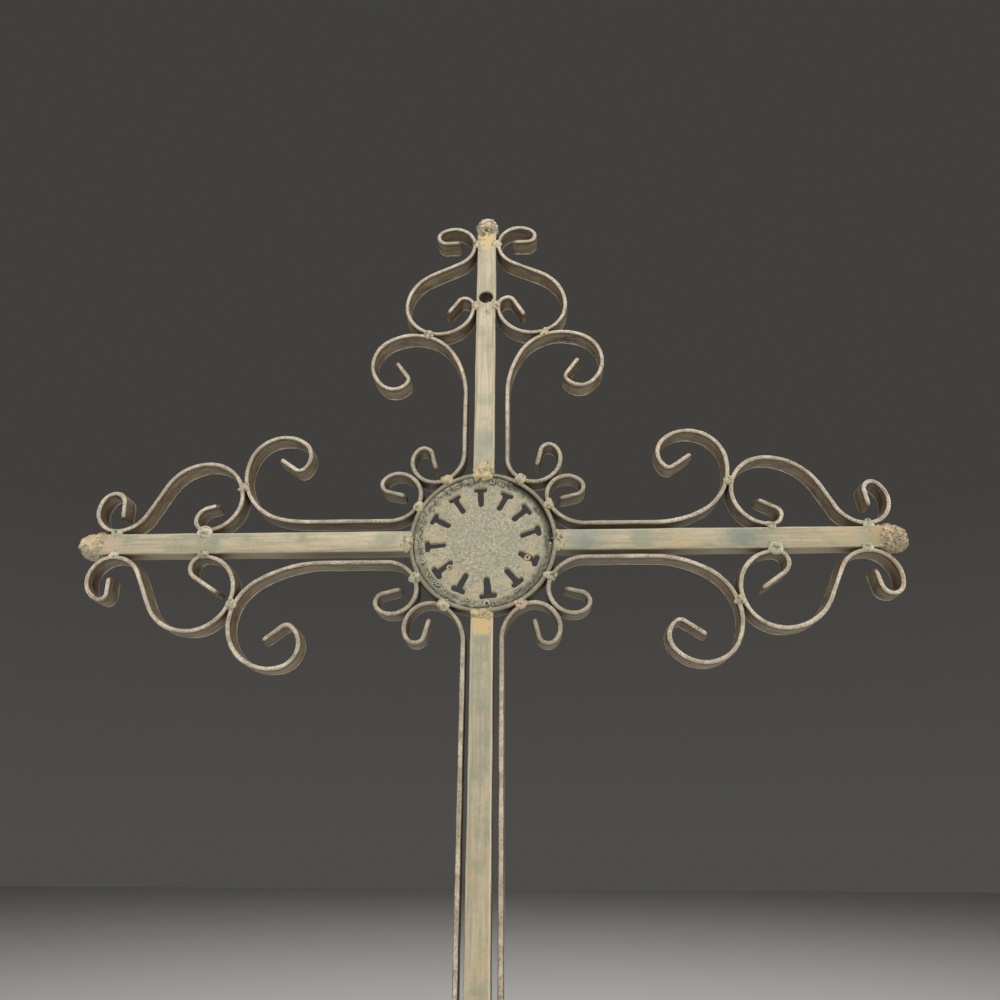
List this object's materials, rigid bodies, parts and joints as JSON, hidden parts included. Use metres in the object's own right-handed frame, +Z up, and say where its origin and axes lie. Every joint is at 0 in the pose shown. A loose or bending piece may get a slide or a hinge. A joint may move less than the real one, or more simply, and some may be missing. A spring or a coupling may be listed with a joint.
{
  "type": "wall cross",
  "caption": "Welded iron wall cross with square-tube arms, ball ends, a pierced rosette in a ring and flat-bar scrolls beside each arm; hangs from a hole in its top arm.",
  "frame": {"origin": "middle of the hanging hole in the top arm, at the plane of the bars' back", "axes": "+Z up along the top arm, -Y out of the front, +X to the right as seen from the front"},
  "size_m": [0.3787, 0.0132, 0.5335],
  "materials": {
    "tube_paint": "steel tube in thin khaki paint, streaked and worn satin",
    "ball_paint": "steel ball in khaki paint over rough weld, rubbed dark at the tip",
    "bar_paint": "flat steel bar in khaki brown paint, rubbed light along its edges",
    "cast_paint": "sand-cast iron in grey khaki paint, grainy and matt"
  },
  "bodies": {
    "root": {"top_tube": "tube_paint", "right_tube": "tube_paint", "left_tube": "tube_paint", "foot_tube": "tube_paint", "top_ball": "ball_paint", "right_ball": "ball_paint", "left_ball": "ball_paint", "foot_ball": "ball_paint", "ring": "bar_paint", "rosette": "cast_paint", "top_inner_scroll_left": "bar_paint", "top_inner_scroll_right": "bar_paint", "top_outer_scroll_left": "bar_paint", "top_outer_scroll_right": "bar_paint", "right_inner_scroll_upper": "bar_paint", "right_inner_scroll_lower": "bar_paint", "right_outer_scroll_upper": "bar_paint", "right_outer_scroll_lower": "bar_paint", "left_inner_scroll_upper": "bar_paint", "left_inner_scroll_lower": "bar_paint", "left_outer_scroll_upper": "bar_paint", "left_outer_scroll_lower": "bar_paint", "foot_inner_scroll_left": "bar_paint", "foot_inner_scroll_right": "bar_paint", "foot_outer_scroll_left": "bar_paint", "foot_outer_scroll_right": "bar_paint"}
  },
  "joints": []
}
